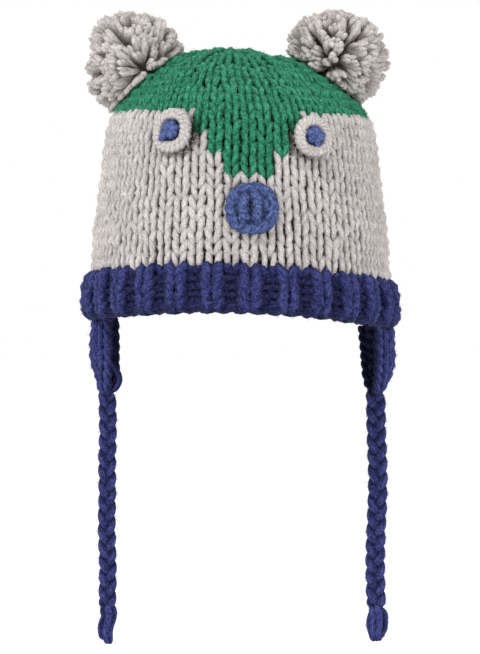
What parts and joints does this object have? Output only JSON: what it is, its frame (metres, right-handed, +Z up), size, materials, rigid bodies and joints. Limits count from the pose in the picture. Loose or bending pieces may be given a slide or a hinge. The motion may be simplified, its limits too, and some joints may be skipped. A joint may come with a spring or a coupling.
{
  "type": "knitted beanie",
  "caption": "Chunky hand-knitted child's bear beanie with a ribbed brim, pompom ears, crocheted eyes and nose, and ear flaps that end in plaited ties.",
  "frame": {"origin": "middle of the head opening, level with the lower edge of the brim at the face", "axes": "+Z up through the crown, -Y out of the face, +X towards the wearer's left, which is the right-hand side of the picture"},
  "size_m": [0.1603, 0.179, 0.3183],
  "materials": {
    "grey_yarn": "soft chunky wool-blend yarn, matt",
    "green_yarn": "soft chunky wool-blend yarn, matt",
    "navy_yarn": "soft chunky wool-blend yarn, matt",
    "blue_yarn": "soft chunky wool-blend yarn, matt",
    "pompom_yarn": "cut chunky wool-blend yarn, matt"
  },
  "bodies": {
    "root": {"brim": "navy_yarn", "body": "grey_yarn", "crown": "green_yarn", "nose": "blue_yarn", "eye_left": "grey_yarn", "pupil_left": "blue_yarn", "eye_right": "grey_yarn", "pupil_right": "blue_yarn", "pompom_left": "pompom_yarn", "pompom_right": "pompom_yarn", "ear_flap_left": "navy_yarn", "tie_left": "navy_yarn", "tie_knot_left": "navy_yarn", "ear_flap_right": "navy_yarn", "tie_right": "navy_yarn", "tie_knot_right": "navy_yarn"}
  },
  "joints": []
}
